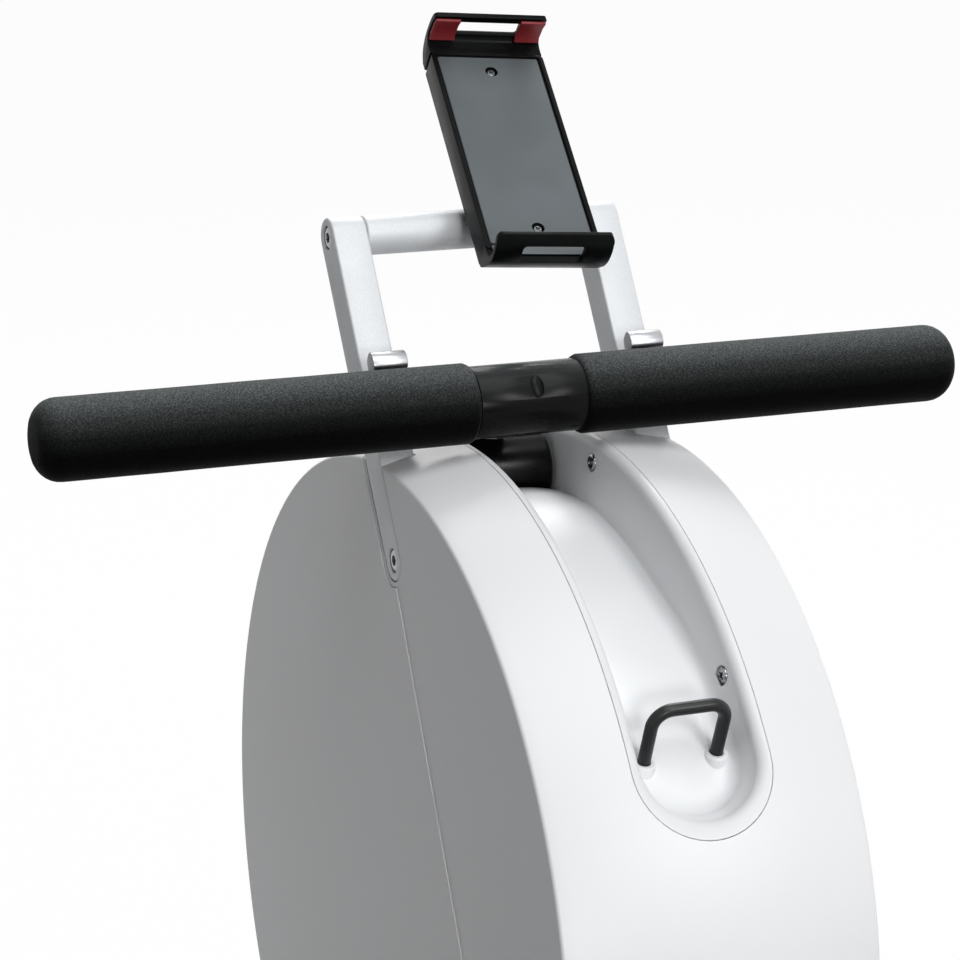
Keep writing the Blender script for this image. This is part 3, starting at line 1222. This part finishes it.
def makeFootStrap(name, side, node):
    # an arch over the instep, sewn to itself with a thinner lap
    strap = {"width": 0.040, "thickness": 0.0028, "reach": 0.0475, "plate": 0.013, "rise": 0.078, "along": 0.035,
             "straight": 0.012}
    middle, reach, arch = side * foot["across"], strap["reach"], strap["plate"] + strap["straight"]
    flat = [(-reach, -0.006), (-reach, 0.003), (-reach, arch)]
    for i in range(1, 36):
        a = math.radians(180 - 180 * i / 36)
        flat.append((reach * math.cos(a), arch + (strap["rise"] - strap["straight"]) * math.sin(a) ** 0.8))
    flat += [(reach, arch), (reach, 0.003), (reach, -0.006)]
    path = [footPoint(middle + u, strap["along"], v) for u, v in flat]
    newPiece(name, bandAlong(path, footUp, strap["width"], strap["thickness"]), footWebbing, "frame", 50,
             node)
    lap = [footPoint(middle + u * 1.028, strap["along"], v + 0.0006) for u, v in flat[14:32]]
    overlap = bandAlong(lap, footUp, strap["width"] - 0.003, 0.0016)
    bmesh.ops.translate(overlap, verts=overlap.verts, vec=footOut * 0.0016)
    newPiece(name + "Lap", overlap, footWebbing, "frame", 50)


makeFootStrap("footBandLeft", -1, "foot_strap_left")
makeFootStrap("footBandRight", 1, "foot_strap_right")
for side, hand in sides:
    for k, across in enumerate((-foot["boltApart"], foot["boltApart"])):
        spot = footPoint(side * foot["across"] + across, 0.0, foot["boltRise"])
        putScrew("footplateBolt%s%d" % (hand, k + 1), "buttonScrew", blackOxide, spot, footOut, "frame")
print("straps made")


# the cushion's cover is blown up by a short cloth simulation, then piped and sewn
seat = {"width": 0.290, "length": 0.235, "bottom": 0.33660, "square": 0.42, "taper": 0.07, "notchDeep": 0.016,
        "notchHalf": 0.040, "shrink": 0.965, "shrinkUp": 0.955, "voxel": 0.0048, "pressure": 4.0, "frames": 20,
        "cap": 0.006, "smooth": 18, "seamHalf": 0.005, "seamAbove": 0.03, "heldBelow": 0.010, "pipe": 0.0019,
        "pipeRise": 0.036, "boltAcross": 0.068, "boltAlong": 0.078}
stitching = {"across": 0.0085, "step": 0.0046, "radius": 0.00045, "length": 0.0034, "front": 0.034, "back": 0.014}


def seatPlan(turn, scale):
    c, s = math.cos(turn), math.sin(turn)
    x = seat["width"] / 2 * math.copysign(abs(c) ** seat["square"], c)
    y = seat["length"] / 2 * math.copysign(abs(s) ** seat["square"], s)
    x *= 1 - seat["taper"] * (y / (seat["length"] / 2) + 1) / 2
    if y < 0:
        y += seat["notchDeep"] * math.exp(-(x / seat["notchHalf"]) ** 2) * abs(y) / (seat["length"] / 2)
    return Vector((x * scale, seatY + y * scale, 0))


def makeSeatCushion():
    start = nodes["seat_cushion"].data.copy()
    cushion = bpy.data.objects.new("seatCushionTop", start)
    scene.collection.objects.link(cushion)
    middle = Vector((0, seatY, seat["bottom"]))
    for vert in start.vertices:
        off = vert.co - middle
        vert.co = middle + Vector((off.x * seat["shrink"], off.y * seat["shrink"],
                                   off.z * seat["shrinkUp"] + 0.0004))
    remesh = cushion.modifiers.new("remesh", "REMESH")
    remesh.mode = "VOXEL"
    remesh.voxel_size = seat["voxel"]
    bakeModifiers(cushion)
    held = cushion.vertex_groups.new(name="held")
    for vert in cushion.data.vertices:
        rise = vert.co.z - seat["bottom"]
        seam = math.exp(-(vert.co.x / seat["seamHalf"]) ** 2) if rise > seat["seamAbove"] else 0.0
        base = 1.0 if rise < seat["heldBelow"] else 0.0
        held.add([vert.index], max(base, seam), "REPLACE")
    before = [vert.co.copy() for vert in cushion.data.vertices]
    cloth = cushion.modifiers.new("cloth", "CLOTH")
    cloth.settings.use_pressure = True
    cloth.settings.uniform_pressure_force = seat["pressure"]
    cloth.settings.effector_weights.gravity = 0
    cloth.settings.vertex_group_mass = "held"
    cloth.settings.quality = 5
    cloth.point_cache.frame_start, cloth.point_cache.frame_end = 1, seat["frames"]
    for step in range(1, seat["frames"] + 1):
        scene.frame_set(step)
    bakeModifiers(cushion)
    scene.frame_set(1)
    for vert, old in zip(cushion.data.vertices, before):
        move = vert.co - old
        if move.length > seat["cap"]:
            vert.co = old + move.normalized() * seat["cap"]
        vert.co.z = max(vert.co.z, seat["bottom"] + 0.0004)
    cushion.modifiers.new("smooth", "SMOOTH").iterations = seat["smooth"]
    cushion.modifiers.new("finer", "SUBSURF").levels = 1
    bakeModifiers(cushion)
    dress(cushion, seatVinyl, "seat", "seat_cushion", 180)
    return cushion


cushion = makeSeatCushion()
skin = BVHTree.FromPolygons([v.co for v in cushion.data.vertices], [p.vertices for p in cushion.data.polygons])


def makePiping():
    # a thin welt sewn round the cushion's widest line
    points = []
    for i in range(120):
        flat = seatPlan(math.tau * i / 120, 1.3)
        level = Vector((flat.x, flat.y, seat["bottom"] + seat["pipeRise"]))
        inward = (Vector((0, seatY, level.z)) - level).normalized()
        hit = skin.ray_cast(level, inward)[0]
        if hit:
            points.append(hit + inward * 0.0006)
    form = sweep(points, circlePoints(seat["pipe"], 10), closed=True)
    newPiece("seatPiping", form, seatVinyl, "seat", 60)


def makeStitches():
    # two rows of stitches beside the sewn channel, each a short capsule lying on the skin
    form = bmesh.new()
    thin = stitching["radius"]
    for x in (-stitching["across"], stitching["across"]):
        y = seatY - seat["length"] / 2 + stitching["front"]
        while y < seatY + seat["length"] / 2 - stitching["back"]:
            hit, normal, _, _ = skin.ray_cast(Vector((x, y, 0.5)), Vector((0, 0, -1)))
            if hit:
                stitch = turnProfile([(0.0, -0.5), (0.7, -0.44), (1.0, -0.3), (1.0, 0.3), (0.7, 0.44), (0.0, 0.5)], 6)
                bmesh.ops.scale(stitch, verts=stitch.verts, vec=(thin, thin, stitching["length"]))
                aim(stitch, hit + normal * 0.0001, (0, 1, -normal.y / max(normal.z, 0.2)))
                spare = bpy.data.meshes.new("spare")
                stitch.to_mesh(spare)
                stitch.free()
                form.from_mesh(spare)
                bpy.data.meshes.remove(spare)
            y += stitching["step"]
    newPiece("seatStitches", form, thread, "seat", 60)


makePiping()
makeStitches()
for side, hand in sides:
    for k, along in enumerate((-seat["boltAlong"], seat["boltAlong"])):
        place = Vector((side * seat["boltAcross"], seatY + along, railTop + 2 * seatWheel["radius"] + 0.0035))
        putScrew("seatBolt%s%d" % (hand, k + 1), "buttonScrew", blackOxide, place, (0, 0, -1), "seat")
print("seat made")


def seenDirectly(tree):
    # 1 for what the camera, a mirror or clear glass looks at
    light = addNode(tree, "LightPath")
    seen = light.outputs["Is Camera Ray"]
    for ray in ("Is Glossy Ray", "Is Transmission Ray"):
        seen = addNode(tree, "Math", {0: seen, 1: light.outputs[ray]}, operation="MAXIMUM").outputs["Value"]
    return seen


def makeFloor():
    # a pale studio floor; what the camera and reflections see is lifted towards white and keeps the shadow
    studio = {"colour": "#9B9C9D", "dark": "#999A9B", "pale": "#9D9E9F", "cloudMm": 1000 / 0.6, "lift": 0.9,
              "white": 1.07}
    material, tree, shader = newMaterial("paleStudioFloor", studio["colour"], 0.8)
    cloud = layPatterns(tree, {"cloud": ("Noise", studio["cloudMm"], {"Detail": 2.0})})["cloud"]
    ramp = addNode(tree, "ValToRGB", {"Fac": cloud}, ((0.35, studio["dark"]), (0.65, studio["pale"])))
    tree.links.new(ramp.outputs["Color"], shader.inputs["Base Color"])
    share = addNode(tree, "Math", {0: seenDirectly(tree), 1: studio["lift"]}, operation="MULTIPLY")
    white = addNode(tree, "Emission", {"Color": toLinear("#FFFFFF"), "Strength": studio["white"]})
    mix = addNode(tree, "MixShader", {0: share.outputs["Value"], 1: shader.outputs["BSDF"],
                                      2: white.outputs["Emission"]})
    tree.links.new(mix.outputs["Shader"], tree.nodes["Material Output"].inputs["Surface"])
    form = bmesh.new()
    bmesh.ops.create_grid(form, x_segments=2, y_segments=2, size=30)
    bmesh.ops.translate(form, verts=form.verts, vec=(0, 0, -0.0002))
    floor = asObject("studioFloor", form)
    floor.data.materials.append(material)


def makeWorld():
    world = bpy.data.worlds.new("studioWorld")
    world.use_nodes = True
    scene.world = world
    tree = world.node_tree
    tree.nodes.clear()
    fill = addNode(tree, "Background", {"Color": toLinear("#F8F9FA"), "Strength": 0.047})
    white = addNode(tree, "Background", {"Color": toLinear("#FFFFFF"), "Strength": 1.0})
    mix = addNode(tree, "MixShader", {0: seenDirectly(tree), 1: fill.outputs["Background"],
                                      2: white.outputs["Background"]})
    out = addNode(tree, "OutputWorld")
    tree.links.new(mix.outputs["Shader"], out.inputs["Surface"])


lamps = {
    "backLamp": {"place": (1.0, 3.2, 3.0), "size": 1.6, "power": 66, "colour": "#FFFFFF"},
    "keyLamp": {"place": (1.45, -2.9, 2.3), "size": 1.5, "power": 57, "colour": "#FFFFFF"},
    "frontLamp": {"place": (-0.34, -3.0, 0.9), "size": 0.6, "power": 26, "colour": "#FFFFFF"},
    "topLamp": {"place": (0.3, -0.7, 3.4), "size": 2.6, "power": 54, "colour": "#FBFDFF"},
}


def makeLamps():
    aimAt = Vector((0, 0.6, 0.45))
    for name, lamp in lamps.items():
        light = bpy.data.lights.new(name, "AREA")
        light.shape = "DISK"
        light.size = lamp["size"]
        light.energy = lamp["power"]
        light.color = toLinear(lamp["colour"])[:3]
        holder = bpy.data.objects.new(name, light)
        holder.location = lamp["place"]
        holder.rotation_euler = (aimAt - Vector(lamp["place"])).to_track_quat("-Z", "Y").to_euler()
        scene.collection.objects.link(holder)


def makeCamera():
    view = {"place": (-0.584, -0.594, 0.910), "lens": 113.29, "yaw": 22.41, "pitch": 13.85}
    lens = bpy.data.cameras.new("photoCamera")
    lens.lens = view["lens"]
    lens.sensor_width = 36
    lens.clip_end = 200
    camera = bpy.data.objects.new("photoCamera", lens)
    camera.location = view["place"]
    camera.rotation_euler = (math.radians(90 - view["pitch"]), 0, math.radians(-view["yaw"]))
    scene.collection.objects.link(camera)
    scene.camera = camera


makeFloor()
makeWorld()
makeLamps()
makeCamera()
scene.view_settings.view_transform = "Standard"
print("stage, lamps and camera set")
